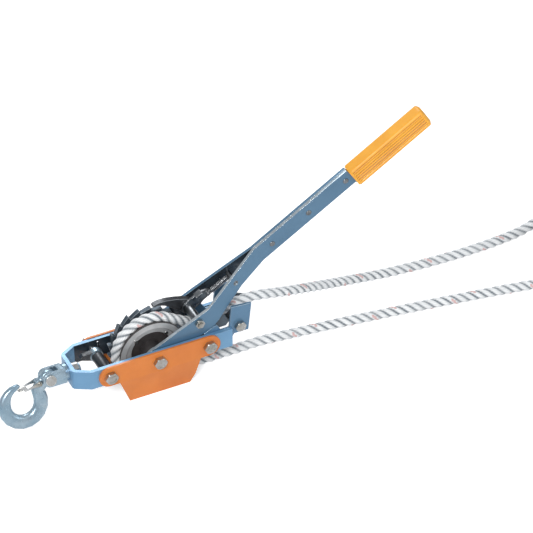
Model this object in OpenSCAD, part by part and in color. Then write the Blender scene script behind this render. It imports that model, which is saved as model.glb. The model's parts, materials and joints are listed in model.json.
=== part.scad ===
// Rope puller (come along winch): a lever turns a grooved sheave that grips the rope.
// Shapes are laid out from the axle: +X toward the handle's grip, +Y to the far side, +Z up.

/* [Frame] */
// Height of the flat bar that the frame is bent from
strap_h = 25; // [24:1:26]
// Thickness of the flat bar
strap_t = 4.5; // [4:0.5:4.5]
// Thickness of each guard plate
guard_t = 2.5; // [2:0.5:3]
// Radius of the frame bolts
bolt_r = 4; // [3.5:0.5:4]

/* [Sheave] */
// Number of ratchet teeth
teeth = 20; // [20:1:20]
// Radius at the tips of the ratchet teeth
tip_r = 46; // [45.5:0.1:46]
// Radius at the roots of the ratchet teeth
root_r = 41.5; // [41:0.1:42]
// Radius of the sheave's rim
rim_r = 39; // [38:0.5:39]

/* [Handle] */
// Angle of the lowered handle above the frame
handle_angle = 32.5; // [32.5:0.5:34]
// Distance from the axle to the end of the grip
handle_reach = 408; // [400:1:420]
// Thickness of each handle plate
plate_t = 3.8; // [3:0.2:3.8]
// Length of the grip
grip_l = 108; // [100:1:110]

/* [Hooks] */
// Sideways lean of the anchor hook where it rests on the ground
lean = 17; // [15:1:17]
// Radius inside a hook's bowl
bowl_r = 13.5; // [12:0.5:13.5]
// Radius outside a hook's bowl
hook_r = 30; // [28:0.5:30]

/* [Rope] */
// Diameter of the rope
rope_d = 12.7; // [12:0.1:12.7]
// Length of the straight runs in the hank
hank_run = 215; // [190:5:220]

/* [Hidden] */

$fn = 64;
// Axle to the origin, which is the middle of the object's foot
axle = [-82.8, -2.5, 50.5];
ground = -axle[2];
// Frame layout along X, and its half widths
front_x = -60;
rear_x = 62;
guide_x = 103;
guide_z = 11;
nose_x = -101;
arm_out = 27.5;
arm_in = arm_out - strap_t;
guard_out = arm_out + guard_t;
arm_end = 92;
arm_bend = -82;
band_r = 13.6;
bore_play = 0.1;
head_h = 5.5;
nut_h = 7;
washer_t = 1.5;
bushing_r = 6;
run_fit = 0.05;
// Sheave and ratchet
wheel_y = [9.9, 15.9];
hub_y = 18;
pitch = 360 / teeth;
tooth_a = 79;
// Rope on the sheave
rope_r = rope_d / 2;
pitch_r = 41;
leave_a = 58;
// Handle in its own frame: s along it, t across it
plate_out = 22;
bend_s1 = 80;
bend_s2 = 162;
grip_s = handle_reach - grip_l;
pivot = [53, 32];
anchor_s = 122;
pawl_drop = 5.5;
stop_drop = 9.5;
// Hooks
pin_x = -124;
pin_r = 4.5;
hook_t = 11;
bowl = [34, -22];
latch_at = [12, -2];
// Load end and hank
load_at = [745, 31, -1.4];
load_shift = 26;
hank = [558, -19];
hank_outer = 57.5;
hank_inner = 32.1;
hank_h = 38.1;
foot_z = ground + rope_r;

module rod_y(x, z, y0, y1, r, sides = 64) {
  translate([x, y0, z]) rotate([-90, 0, 0]) cylinder(h = y1 - y0, r = r, $fn = sides);
}
module tube_y(x, z, y0, y1, r, r_in) {
  difference() {
    rod_y(x, z, y0, y1, r);
    rod_y(x, z, y0 - 1, y1 + 1, r_in);
  }
}
module slab(y0, y1) {
  translate([0, y1, 0]) rotate([90, 0, 0]) linear_extrude(y1 - y0) children();
}
module hex_y(x, z, y0, y1, across) {
  rod_y(x, z, y0, y1, across / 2 / cos(30), 6);
}
module from_axle() { translate(axle) children(); }
module in_handle() { from_axle() rotate([0, -handle_angle, 0]) children(); }
module swivelled() { from_axle() rotate([-lean, 0, 0]) children(); }
module at_hook() { swivelled() translate([pin_x, 0, 0]) rotate([90, 0, 180]) children(); }
module at_load() { from_axle() translate(load_at) children(); }

// ---- Frame ----
module strap_outline(inset) {
  half = arm_out - inset;
  translate([arm_bend, -half]) square([arm_end - arm_bend + inset, 2 * half]);
  hull() {
    translate([arm_bend, -half]) square([1, 2 * half]);
    for (side = [-1, 1]) translate([nose_x + 5.5, side * 14]) circle(r = 5.5 - inset, $fn = 32);
  }
}
module frame_strap() {
  color([0.46, 0.62, 0.76]) from_axle() difference() {
    translate([0, 0, -strap_h / 2]) linear_extrude(strap_h) difference() {
      strap_outline(0);
      strap_outline(strap_t);
    }
    for (x = [front_x, 0, rear_x]) rod_y(x, 0, -40, 40, bolt_r + bore_play);
    translate([nose_x - 5, 0, 0]) rotate([0, 90, 0]) cylinder(h = 12, r = bushing_r + run_fit);
  }
}
// The near guard is a band along the arm, and an apron that leans in below its crease.
module guard() {
  crease = -13.5;
  slope = 10;
  drop = (crease - ground) / cos(slope);
  difference() {
    union() {
      for (x = [front_x, rear_x]) rod_y(x, 0, -guard_out, -arm_out, band_r);
      slab(-guard_out, -arm_out) {
        translate([front_x, -band_r]) square([rear_x - front_x, 2 * band_r]);
        translate([-50, crease]) square([102, 10]);
      }
      translate([0, 0.25 - guard_out, crease]) rotate([slope, 0, 0]) slab(0, guard_t)
        polygon([[-49.5, 1], [51.5, 1], [46, -0.66 * drop], [40, -drop], [-35, -drop]]);
    }
    for (x = [front_x, 0, rear_x]) rod_y(x, 0, -40, 40, bolt_r + bore_play);
  }
}
module guard_near() { color([0.84, 0.49, 0.26]) from_axle() guard(); }
module guard_far() { color([0.84, 0.49, 0.26]) from_axle() mirror([0, 1, 0]) guard(); }
module frame_bolt(x) {
  color([0.78, 0.78, 0.76]) from_axle() {
    hex_y(x, 0, -guard_out - head_h, -guard_out, 14);
    rod_y(x, 0, -guard_out - 1, guard_out + washer_t + nut_h + 2, bolt_r);
  }
}
module front_bolt() { frame_bolt(front_x); }
module axle_bolt() { frame_bolt(0); }
module rear_bolt() { frame_bolt(rear_x); }
module guide_bolt() {
  color([0.78, 0.78, 0.76]) from_axle() {
    hex_y(guide_x, guide_z, -arm_in - 5, -arm_in, 12);
    rod_y(guide_x, guide_z, -arm_in - 1, arm_in + 8, bolt_r);
  }
}
module nut(x, z, y0, across, h) {
  difference() {
    hex_y(x, z, y0, y0 + h, across);
    rod_y(x, z, y0 - 1, y0 + h + 1, bolt_r);
  }
}
module frame_nuts() {
  color([0.78, 0.78, 0.76]) from_axle() {
    for (x = [front_x, 0, rear_x]) nut(x, 0, guard_out + washer_t, 14, nut_h);
    nut(guide_x, guide_z, arm_in, 12, 6);
  }
}
module frame_washers() {
  color([0.78, 0.78, 0.76]) from_axle() for (x = [front_x, 0, rear_x])
    tube_y(x, 0, guard_out, guard_out + washer_t, 8.5, bolt_r + bore_play);
}
module front_spacer() {
  color([0.16, 0.15, 0.15]) from_axle() tube_y(front_x, 0, -arm_in, 9.5, 6.5, bolt_r + bore_play);
}
module rear_spacer() {
  color([0.5, 0.5, 0.5]) from_axle() tube_y(rear_x, 0, -20, 20, 7, bolt_r + bore_play);
}
module guide_spacers() {
  color([0.5, 0.5, 0.5]) from_axle() {
    tube_y(guide_x, guide_z, -20, 8, 7, bolt_r + bore_play);
    tube_y(guide_x, guide_z, 11, 20, 7, bolt_r + bore_play);
  }
}
module axle_bushing() {
  color([0.7, 0.68, 0.6]) from_axle() tube_y(0, 0, -arm_in, arm_in, bushing_r, bolt_r + bore_play);
}
module bracket(y0, y1) {
  color([0.37, 0.51, 0.64]) from_axle() difference() {
    union() {
      slab(y0, y1) polygon([[53, -11], [90, -11], [96, 1], [114, 1], [118, 38.5], [93, 40.5], [90, 12],
        [57, 10.5], [53, 4]]);
      slab(y0, y1) polygon([[59, 8], [59, 14], [71, 20.6], [75, 20.6], [82, 8]]);
    }
    rod_y(rear_x, 0, y0 - 1, y1 + 1, bolt_r + bore_play);
    rod_y(guide_x, guide_z, y0 - 1, y1 + 1, bolt_r + bore_play);
  }
}
module bracket_near() { bracket(-arm_in, -20); }
module bracket_far() { bracket(20, arm_in); }
module rope_guide() {
  color([0.37, 0.51, 0.64]) from_axle() difference() {
    slab(8, 11) polygon([[72, -12], [100, -12], [112, 2], [129, 14], [132, 22], [112, 31], [94, 31],
      [89, 16], [72, 10]]);
    rod_y(guide_x, guide_z, 7, 12, bolt_r + bore_play);
  }
}

// ---- Sheave and ratchet ----
module sheave() {
  color([0.36, 0.36, 0.37]) from_axle() difference() {
    rotate([-90, 0, 0]) rotate_extrude($fn = 128) polygon([
      [bushing_r + run_fit, -hub_y], [12, -hub_y], [12, -4], [23, -4], [25, -7], [31, -8], [32, -9.5],
      [rim_r, -9.5], [rim_r, -6.3], [31, -3], [31, 3], [rim_r, 6.3], [rim_r, wheel_y[0]],
      [bushing_r + run_fit, wheel_y[0]]]);
    for (a = [45:90:315]) rod_y(26 * cos(a), 26 * sin(a), -10, 11, 2.5, 24);
  }
}
module ratchet_wheel() {
  color([0.3, 0.34, 0.38]) from_axle() difference() {
    union() {
      slab(wheel_y[0], wheel_y[1]) polygon([for (i = [0:teeth - 1]) for (p = [[root_r, -0.6], [tip_r, 0],
        [tip_r, 1.2], [(tip_r + root_r) / 2 - 0.3, pitch / 2]])
        let (a = tooth_a + i * pitch + p[1]) p[0] * [cos(a), sin(a)]]);
      rod_y(0, 0, wheel_y[0] + 1, hub_y, 12);
    }
    rod_y(0, 0, 0, 30, bushing_r + run_fit);
    for (a = [45:90:315]) rod_y(26 * cos(a), 26 * sin(a), 9, 17, 2.5, 24);
  }
}
module ratchet_rivets() {
  color([0.6, 0.6, 0.6]) from_axle() for (a = [45:90:315]) {
    rod_y(26 * cos(a), 26 * sin(a), -8, wheel_y[1], 2.5, 24);
    rod_y(26 * cos(a), 26 * sin(a), wheel_y[1], wheel_y[1] + 1.3, 4.5, 32);
  }
}

// ---- Handle ----
// One plate is its side outline cut from a strip that is bent toward the middle.
module handle_plate(side) {
  tang = [grip_s, handle_reach - 16];
  difference() {
    intersection() {
      union() {
        slab(-30, 30) polygon([[0, 12.5], [bend_s1, 4.2], [bend_s2 + 1, 12], [grip_s - 1, 11.5],
          [tang[0], 5.5], [tang[1], 5.5], [tang[1], -13.5], [tang[0], -13.5], [grip_s - 1, -11.5],
          [125, -10.5], [91.7, -16.2], [72.3, -20.5], [50, -19], [0, -12.5]]);
        rod_y(0, 0, -30, 30, 13.5);
      }
      translate([0, 0, -40]) linear_extrude(80) polygon([for (p = [[-20, plate_out],
        [bend_s1, plate_out], [bend_s2, plate_t], [handle_reach, plate_t], [handle_reach, 0], [bend_s2, 0],
        [bend_s1, plate_out - plate_t], [-20, plate_out - plate_t]]) [p[0], side * p[1]]]);
    }
    rod_y(0, 0, -40, 40, bushing_r + run_fit);
    rotate([0, handle_angle, 0]) rod_y(pivot[0], pivot[1], -40, 40, 3);
    rod_y(anchor_s, -1, -40, 40, 3);
    for (s = [182, 236, 291]) rod_y(s, 0, -40, 40, 2.5, 32);
  }
}
module handle_near() { color([0.47, 0.61, 0.73]) in_handle() handle_plate(-1); }
module handle_far() { color([0.38, 0.5, 0.6]) in_handle() handle_plate(1); }
module handle_rivets() {
  color([0.55, 0.62, 0.68]) in_handle() for (s = [182, 236, 291]) {
    rod_y(s, 0, -plate_t, plate_t, 2.5, 32);
    rod_y(s, 0, -plate_t - 1.2, -plate_t, 3.4, 32);
    rod_y(s, 0, plate_t, plate_t + 1.2, 3.4, 32);
  }
}
module grip() {
  color([0.93, 0.67, 0.29]) in_handle() difference() {
    translate([grip_s, 0, -4]) rotate([0, 90, 0]) linear_extrude(grip_l) offset(r = 4)
      square([19, 10], center = true);
    translate([grip_s - 2, -plate_t, -13.5]) cube([grip_l - 14, 2 * plate_t, 19]);
  }
}
module pawl_pivot_bolt() {
  color([0.78, 0.78, 0.76]) from_axle() {
    hex_y(pivot[0], pivot[1], plate_out, plate_out + 4, 10);
    rod_y(pivot[0], pivot[1], -plate_out - 6, plate_out + 1, 3);
  }
}
module pawl_pivot_nut() {
  color([0.78, 0.78, 0.76]) from_axle() difference() {
    hex_y(pivot[0], pivot[1], -plate_out - 4.5, -plate_out, 10);
    rod_y(pivot[0], pivot[1], -plate_out - 6, plate_out, 3);
  }
}
module pawl_spacers() {
  color([0.62, 0.62, 0.6]) from_axle() {
    tube_y(pivot[0], pivot[1], plate_t - plate_out, 6.9, 5.5, 3.05);
    tube_y(pivot[0], pivot[1], 16.8, plate_out - plate_t, 5.5, 3.05);
  }
}
module spring_anchor_pin() {
  color([0.78, 0.78, 0.76]) in_handle() rod_y(anchor_s, -1, -11, 11, 3);
}

// ---- Pawls ----
// Both are drawn dropped into a tooth gap, and turned back until they ride over the tips.
module drive_pawl() {
  color([0.2, 0.21, 0.23]) from_axle() difference() {
    translate([pivot[0], 0, pivot[1]]) rotate([0, pawl_drop, 0]) union() {
      slab(9.7, 16.5) polygon([[-43.6, 9.1], [-36.6, 10.1], [-28.9, 8.1], [-21.5, 4], [-16, 0],
        [-8, -4.6], [0, -9], [7, -6], [9, 0], [4, 9], [-6, 12], [-15, 13.7], [-27, 14.8],
        [-36, 14.2], [-42.6, 12]]);
      rod_y(0, 0, 9.7, 16.5, 9);
    }
    rod_y(pivot[0], pivot[1], 9, 17, 3.05);
  }
}
module pawl_release_tab() {
  color([0.8, 0.84, 0.88]) from_axle() difference() {
    union() {
      rod_y(pivot[0], pivot[1], 7.2, 9.6, 8);
      slab(7.2, 9.6) polygon([[50, 40], [59, 26], [80, 45], [79, 50.5], [68, 50]]);
      slab(1.5, 9.6) polygon([[62, 46], [69, 50.6], [67.5, 52.6], [60.6, 48]]);
      rod_y(76, 47, 1.5, 8, 1.6, 24);
    }
    rod_y(pivot[0], pivot[1], 0, 17, 3.05);
  }
}
module drive_pawl_spring() {
  color([0.7, 0.72, 0.74]) from_axle() translate([80.5, 3.9, 50.2]) rotate([0, 53.5, 0])
    difference() {
      cylinder(h = 22, r = 3.8, $fn = 32);
      translate([0, 0, -1]) cylinder(h = 24, r = 2.4, $fn = 32);
    }
}
module stop_pawl() {
  color([0.24, 0.25, 0.27]) from_axle() difference() {
    translate([front_x, 0, 0]) union() {
      rotate([0, stop_drop, 0]) slab(9.9, 15.9)
        polygon([[20.5, -16.4], [14.5, -8.5], [7, 0], [-2, -7.7], [15.5, -19]]);
      rod_y(0, 0, 9.7, 16.2, 8);
      slab(9.9, 15.9) polygon([[-5, 6], [-16, 5.5], [-20, 2.5], [-18, -0.5], [-6, -5]]);
    }
    rod_y(front_x, 0, 9, 24, bolt_r + run_fit);
  }
}
module stop_pawl_spring() {
  color([0.6, 0.6, 0.6]) from_axle() {
    tube_y(front_x, 0, 16.6, 20.2, 6.6, 4.6);
    translate([front_x - 1, 18.6, 5]) cube([1.6, 1.6, 12]);
  }
}

// ---- Anchor end ----
module hook_yoke() {
  color([0.66, 0.74, 0.8]) swivelled() difference() {
    union() {
      translate([-111, 0, 0]) rotate([0, 90, 0]) cylinder(h = 25.4, r = bushing_r);
      translate([-106, 0, 0]) rotate([0, 90, 0]) cylinder(h = 4.8, r = 10.5);
      translate([-112, -10, -8.5]) cube([7, 20, 17]);
      for (y = [-10, 5.9]) {
        translate([pin_x, y, -8.5]) cube([14, 4.1, 17]);
        rod_y(pin_x, 0, y, y + 4.1, 8.5);
      }
    }
    rod_y(pin_x, 0, -20, 20, pin_r);
  }
}
module stud_collar() {
  color([0.7, 0.7, 0.68]) swivelled() difference() {
    translate([-96.2, 0, 0]) rotate([0, 90, 0]) cylinder(h = 8, r = 8.5);
    translate([-97, 0, 0]) rotate([0, 90, 0]) cylinder(h = 12, r = bushing_r);
  }
}
module yoke_pin() {
  color([0.78, 0.78, 0.76]) swivelled() {
    rod_y(pin_x, 0, -10, 10, pin_r);
    rod_y(pin_x, 0, -12.5, -10, 6.5);
    rod_y(pin_x, 0, 10, 12, 6);
  }
}
function hook_section(r0, r1, half) = [[r0, -0.45 * half], [r0 + 2.5, -half], [r1 - 3, -half],
  [r1, -0.45 * half], [r1, 0.45 * half], [r1 - 3, half], [r0 + 2.5, half], [r0, 0.45 * half]];
module hook_slice(a, r0, r1, half) {
  rotate([0, 0, a]) rotate([90, 0, 0]) linear_extrude(0.2) polygon(hook_section(r0, r1, half));
}
// Bowl, tapered tip and neck of a slip hook, with its pin at the origin and its bowl toward +X.
module hook_body(neck) {
  translate(bowl) {
    rotate([0, 0, 145]) rotate_extrude(angle = 245) polygon(hook_section(bowl_r, hook_r, hook_t / 2));
    hull() {
      hook_slice(27, bowl_r + 0.6, hook_r - 0.6, 5.1);
      hook_slice(52, 14.8, 28.2, 4.8);
      hook_slice(70, 18.6, 26.2, 4.4);
    }
    hull() {
      hook_slice(66, 18.2, 26, 4.2);
      hook_slice(88, 19.9, 25.1, 3.4);
    }
  }
  hull() {
    translate([neck, 0, -5.2]) cylinder(h = 10.4, r = 9.5, $fn = 32);
    translate([15, -9, -5.2]) cylinder(h = 10.4, r = 7, $fn = 32);
  }
}
module hook_holes() {
  translate([latch_at[0], latch_at[1], -20]) cylinder(h = 40, r = 1.6, $fn = 24);
}
module latch() {
  difference() {
    union() {
      for (z = [-7.1, 5.8]) hull() {
        translate([latch_at[0], latch_at[1], z]) cylinder(h = 1.3, r = 3, $fn = 24);
        translate([30, -4.2, z]) cylinder(h = 1.3, r = 1.4, $fn = 24);
      }
      translate([26.5, -4.9, -6.4]) rotate([0, 0, -4]) cube([4.5, 1.5, 12.8]);
      translate([29, -5, -4.2]) rotate([0, 0, -4]) cube([8, 1.4, 8.4]);
    }
    translate([latch_at[0], latch_at[1], -20]) cylinder(h = 40, r = 1.6, $fn = 24);
  }
}
module latch_pin() {
  translate([latch_at[0], latch_at[1], -7.8]) cylinder(h = 15.6, r = 1.55, $fn = 24);
}
module anchor_hook() {
  color([0.54, 0.7, 0.8]) at_hook() difference() {
    hook_body(0);
    hook_holes();
    translate([0, 0, -20]) cylinder(h = 40, r = pin_r + run_fit);
  }
}
module anchor_latch() { color([0.75, 0.78, 0.8]) at_hook() latch(); }
module anchor_latch_pin() { color([0.7, 0.7, 0.7]) at_hook() latch_pin(); }

// ---- Rope ----
// The route of the load run, from the sheave over the guide to the eye splice on the hank
load_route = [
  [21.7, 0, 34.8], [32, 0, 28.4], [42, 0, 22.4], [52, 0, 17.6], [64, 0, 15.2], [77, 0, 16.4],
  [90, 0, 20.6], [103, 0, 25], [116, 0, 27], [130, 0, 26.8], [143, 0, 25], [157, 1, 21.2],
  [173, 4, 15.5], [190, 8.5, 9], [210, 15.4, 0], [230, 22.4, -9], [250, 28.9, -17.5],
  [270, 34.4, -25], [290, 38.8, -31.5], [310, 42, -37], [330, 44, -41], [352, 44.6, -43.2],
  [375, 43.8, -44], [405, 42.3, -44], [435, 42, -44], [465, 43, -44], [490, 45, -44],
  [512, 47, -43], [530, 47.6, -38], [548, 47.6, -29], [566, 47.4, -18], [584, 46.6, -9],
  [602, 44, -3.6], [620, 39.5, -1.6], [636, 35, -1.4], [655, 31.6, -1.4]];
// The route of the tail run, from the foot of the sheave along the ground to the hank
tail_route = [
  [0, 0, -41], [22, 0, -41.8], [50, 0, -43], [80, 0, -43.8], [110, 0, -44], [142, 0, -44],
  [183, -4.2, -44], [224, -9.1, -44], [266, -14.5, -44], [307, -20.2, -44], [345, -25.7, -44],
  [385, -31.9, -44], [425, -38.4, -44], [463, -45, -44], [490, -51, -44], [509, -56.5, -44]];
// Half of the splice's eye round the thimble, seen from the load pin
eye_half = concat([[-38, 2.6, 0], [-24, 3.4, 0], [-16, 7, 0]],
  [for (a = [130:-18.5:0]) [15 * cos(a), 15 * sin(a), 0]], [[15, -0.5, 0]]);
function unit(v) = v / norm(v);
function along(route, i) = unit(route[min(i + 1, len(route) - 1)] - route[max(i - 1, 0)]);
module swept(route, radius, sides = 10, up = [0, 1, 0]) {
  last = len(route) - 1;
  points = [for (i = [0:last]) let (d = along(route, i), u = unit(cross(up, d)), v = cross(d, u))
    for (k = [0:sides - 1]) route[i] + radius * (u * cos(k * 360 / sides) + v * sin(k * 360 / sides))];
  walls = [for (i = [0:last - 1]) for (k = [0:sides - 1]) let (n = (k + 1) % sides)
    [i * sides + k, (i + 1) * sides + k, (i + 1) * sides + n, i * sides + n]];
  start = [[for (k = [0:sides - 1]) k]];
  finish = [[for (k = [sides - 1:-1:0]) last * sides + k]];
  polyhedron(points = points, faces = concat(start, finish, walls));
}
module rope_wrap() {
  color([0.86, 0.87, 0.86]) from_axle() rotate([90, 0, 0]) rotate([0, 0, leave_a])
    rotate_extrude(angle = 270 - leave_a) translate([pitch_r, 0]) circle(r = rope_r, $fn = 32);
}
module rope_load_run() { color([0.86, 0.87, 0.86]) from_axle() swept(load_route, rope_r); }
module rope_tail_run() { color([0.86, 0.87, 0.86]) from_axle() swept(tail_route, rope_r); }
module racetrack(r) {
  for (x = [0, hank_run]) translate([x, 0]) circle(r = r);
  translate([0, -r]) square([hank_run, 2 * r]);
}
module tail_hank() {
  color([0.86, 0.87, 0.86]) from_axle() translate([hank[0], hank[1], ground]) linear_extrude(hank_h)
    difference() {
      racetrack(hank_outer);
      racetrack(hank_inner);
    }
}
module hank_ties() {
  thick = 1.3;
  wide = hank_outer - hank_inner;
  color([0.2, 0.22, 0.25]) from_axle() for (at = [[666, -1], [564, 1]])
    translate([at[0], hank[1] + at[1] * (hank_outer + hank_inner) / 2 - wide / 2, ground]) difference() {
      translate([0, -thick, 0]) cube([8, wide + 2 * thick, hank_h + thick]);
      translate([-1, 0, thick]) cube([10, wide, hank_h - thick]);
    }
}
module load_splice() {
  color([0.86, 0.87, 0.86]) at_load() {
    swept(eye_half, rope_r, up = [0, 0, 1]);
    mirror([0, 1, 0]) swept(eye_half, rope_r, up = [0, 0, 1]);
    translate([-92, 0, 0]) rotate([0, 90, 0]) cylinder(h = 62, r1 = rope_r + 0.1, r2 = rope_r + 2.6);
  }
}
module load_thimble() {
  color([0.75, 0.76, 0.76]) at_load() difference() {
    union() {
      translate([0, 0, -6.3]) cylinder(h = 12.6, r = 8.6);
      translate([0, 0, -6.3]) linear_extrude(12.6) polygon([[-5, 5], [-13, 0], [-5, -5]]);
    }
    translate([0, 0, -20]) cylinder(h = 40, r = 5.05);
  }
}
module load_hook() {
  color([0.54, 0.7, 0.8]) at_load() difference() {
    union() {
      translate([load_shift, 0, 0]) hook_body(7.5);
      translate([22.4, -9, -10.9]) cube([8, 18, 21.8]);
      for (z = [-10.9, 6.9]) {
        translate([0, -9, z]) cube([23, 18, 4]);
        translate([0, 0, z]) cylinder(h = 4, r = 9.5);
      }
    }
    translate([load_shift, 0, 0]) hook_holes();
    translate([0, 0, -20]) cylinder(h = 40, r = 5.05);
  }
}
module load_pin() {
  color([0.78, 0.78, 0.76]) at_load() {
    translate([0, 0, -10.6]) cylinder(h = 24, r = 5);
    translate([0, 0, 11]) cylinder(h = 2.4, r = 7);
  }
}
module load_latch() { color([0.75, 0.78, 0.8]) at_load() translate([load_shift, 0, 0]) latch(); }
module load_latch_pin() { color([0.7, 0.7, 0.7]) at_load() translate([load_shift, 0, 0]) latch_pin(); }

frame_strap();
guard_near();
guard_far();
front_bolt();
axle_bolt();
rear_bolt();
guide_bolt();
frame_nuts();
frame_washers();
front_spacer();
rear_spacer();
guide_spacers();
axle_bushing();
bracket_near();
bracket_far();
rope_guide();
sheave();
ratchet_wheel();
ratchet_rivets();
handle_near();
handle_far();
handle_rivets();
grip();
pawl_pivot_bolt();
pawl_pivot_nut();
pawl_spacers();
spring_anchor_pin();
drive_pawl();
pawl_release_tab();
drive_pawl_spring();
stop_pawl();
stop_pawl_spring();
hook_yoke();
stud_collar();
yoke_pin();
anchor_hook();
anchor_latch();
anchor_latch_pin();
rope_wrap();
rope_load_run();
rope_tail_run();
tail_hank();
hank_ties();
load_splice();
load_thimble();
load_hook();
load_pin();
load_latch();
load_latch_pin();
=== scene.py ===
"""Looks of the rope puller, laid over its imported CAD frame."""
import json
import math

import bmesh
import bpy
from mathutils import Matrix, Vector


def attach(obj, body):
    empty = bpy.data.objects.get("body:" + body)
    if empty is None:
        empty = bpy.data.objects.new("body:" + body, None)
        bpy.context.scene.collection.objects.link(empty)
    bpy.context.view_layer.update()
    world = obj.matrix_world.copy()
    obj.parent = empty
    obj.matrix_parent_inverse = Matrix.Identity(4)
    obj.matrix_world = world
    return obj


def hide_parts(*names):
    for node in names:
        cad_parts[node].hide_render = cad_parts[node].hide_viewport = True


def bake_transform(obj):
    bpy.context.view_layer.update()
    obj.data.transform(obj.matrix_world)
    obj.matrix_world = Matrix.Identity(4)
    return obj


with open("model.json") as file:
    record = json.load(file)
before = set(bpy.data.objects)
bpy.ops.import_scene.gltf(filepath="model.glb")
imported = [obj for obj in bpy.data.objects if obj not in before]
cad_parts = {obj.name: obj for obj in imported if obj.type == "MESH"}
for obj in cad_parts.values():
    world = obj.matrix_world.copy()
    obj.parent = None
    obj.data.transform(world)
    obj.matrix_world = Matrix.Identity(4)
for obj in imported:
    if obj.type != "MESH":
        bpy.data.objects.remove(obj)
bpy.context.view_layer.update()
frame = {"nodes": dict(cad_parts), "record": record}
NODES = frame["nodes"]
# The axle in the row frame; lengths below are millimetres from it
AXLE = Vector((-82.8, -2.5, 50.5))
GROUND = -50.5
FRONT = -60
ROPE = 6.35
TAU = 2 * math.pi


def row(p):
    return (Vector(p) + AXLE) / 1000


def turn(axis, degrees, about=(0, 0, 0)):
    about = Vector(about)
    return (Matrix.Translation(about) @ Matrix.Rotation(math.radians(degrees), 4, axis)
            @ Matrix.Translation(-about))


# ---- Camera and light ----
def camera():
    right = Vector((0.9003, -0.4352, 0.0))
    ahead = Vector((0.3387, 0.7007, -0.628)).normalized()
    up = right.cross(ahead)
    target = row((148, 0, 64))
    distance = 3.367
    data = bpy.data.cameras.new("camera")
    data.lens, data.sensor_width = 200, 36
    data.clip_start, data.clip_end = 0.1, 50
    cam = bpy.data.objects.new("camera", data)
    bpy.context.scene.collection.objects.link(cam)
    turned = Matrix((right, up, -ahead)).transposed().to_4x4()
    cam.matrix_world = Matrix.Translation(target - ahead * distance) @ turned
    bpy.context.scene.camera = cam


def lamp(name, place, aim, size, power, colour=(1, 1, 1)):
    data = bpy.data.lights.new(name, "AREA")
    data.shape, data.size, data.energy, data.color = "DISK", size, power, colour
    made = bpy.data.objects.new(name, data)
    made.location = place
    made.rotation_mode = "QUATERNION"
    made.rotation_quaternion = (Vector(aim) - Vector(place)).to_track_quat("-Z", "Y")
    bpy.context.scene.collection.objects.link(made)


camera()
lamp("key", (-1.5, -1.9, 2.3), (0.1, 0, 0.05), 0.9, 62, (1, 0.985, 0.96))
lamp("fill", (1.9, -2.0, 1.3), (0.1, 0, 0.05), 1.6, 12, (0.95, 0.98, 1))
lamp("rim", (0.3, 2.2, 1.9), (0.1, 0, 0.05), 1.2, 24)
world = bpy.data.worlds.new("studio")
world.use_nodes = True
world.node_tree.nodes["Background"].inputs[0].default_value = (0.93, 0.96, 1, 1)
world.node_tree.nodes["Background"].inputs[1].default_value = 0.46
bpy.context.scene.world = world
bpy.context.scene.view_settings.view_transform = "Standard"


# ---- Materials ----
class Shade:
    """A material's node tree, with short ways to add nodes to it."""

    def __init__(self, name, **values):
        self.made = bpy.data.materials.new(name)
        self.made.use_nodes = True
        self.tree = self.made.node_tree
        self.main = self.tree.nodes["Principled BSDF"]
        for key, value in values.items():
            self.main.inputs[key.replace("_", " ")].default_value = value

    def link(self, a, b):
        self.tree.links.new(a, b)

    def node(self, kind, **inputs):
        made = self.tree.nodes.new(kind)
        for key, value in inputs.items():
            # i0, i1 ... are inputs by number, any other key is an input's name
            numbered = key[0] == "i" and key[1:].isdigit()
            target = made.inputs[int(key[1:]) if numbered else key]
            if hasattr(value, "is_linked"):
                self.link(value, target)
            else:
                target.default_value = value
        return made

    def place(self):
        spot = self.tree.nodes.new("ShaderNodeTexCoord")
        fitted = self.node("ShaderNodeMapping")
        self.link(spot.outputs["Object"], fitted.inputs["Vector"])
        return fitted.outputs["Vector"]

    def noise(self, scale, detail, rough=0.55):
        made = self.node("ShaderNodeTexNoise", Scale=scale, Detail=detail, Roughness=rough)
        self.link(self.place(), made.inputs["Vector"])
        return made.outputs["Fac"]

    def math(self, kind, a, b=0.5):
        made = self.node("ShaderNodeMath", i0=a, i1=b)
        made.operation = kind
        return made.outputs[0]

    def ramp(self, value, *stops):
        made = self.node("ShaderNodeValToRGB", Fac=value)
        bar = made.color_ramp.elements
        while len(bar) < len(stops):
            bar.new(0.5)
        for spot, (at, colour) in zip(bar, stops):
            spot.position = at
            spot.color = (*colour, 1) if hasattr(colour, "__len__") else (colour, colour, colour, 1)
        return made.outputs["Color"]

    def mix(self, share, a, b):
        made = self.tree.nodes.new("ShaderNodeMix")
        made.data_type = "RGBA"
        for spot, value in ((0, share), (6, a), (7, b)):
            if hasattr(value, "is_linked"):
                self.link(value, made.inputs[spot])
            elif spot and len(value) == 3:
                made.inputs[spot].default_value = (*value, 1)
            else:
                made.inputs[spot].default_value = value
        return made.outputs[2]

    def colour(self, value):
        self.link(value, self.main.inputs["Base Color"])

    def rough(self, value):
        self.link(value, self.main.inputs["Roughness"])

    def bump(self, *layers):
        last = None
        for height, strength, distance in layers:
            made = self.node("ShaderNodeBump", Strength=strength, Distance=distance, Height=height)
            if last:
                self.link(last, made.inputs["Normal"])
            last = made.outputs["Normal"]
        self.link(last, self.main.inputs["Normal"])


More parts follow.
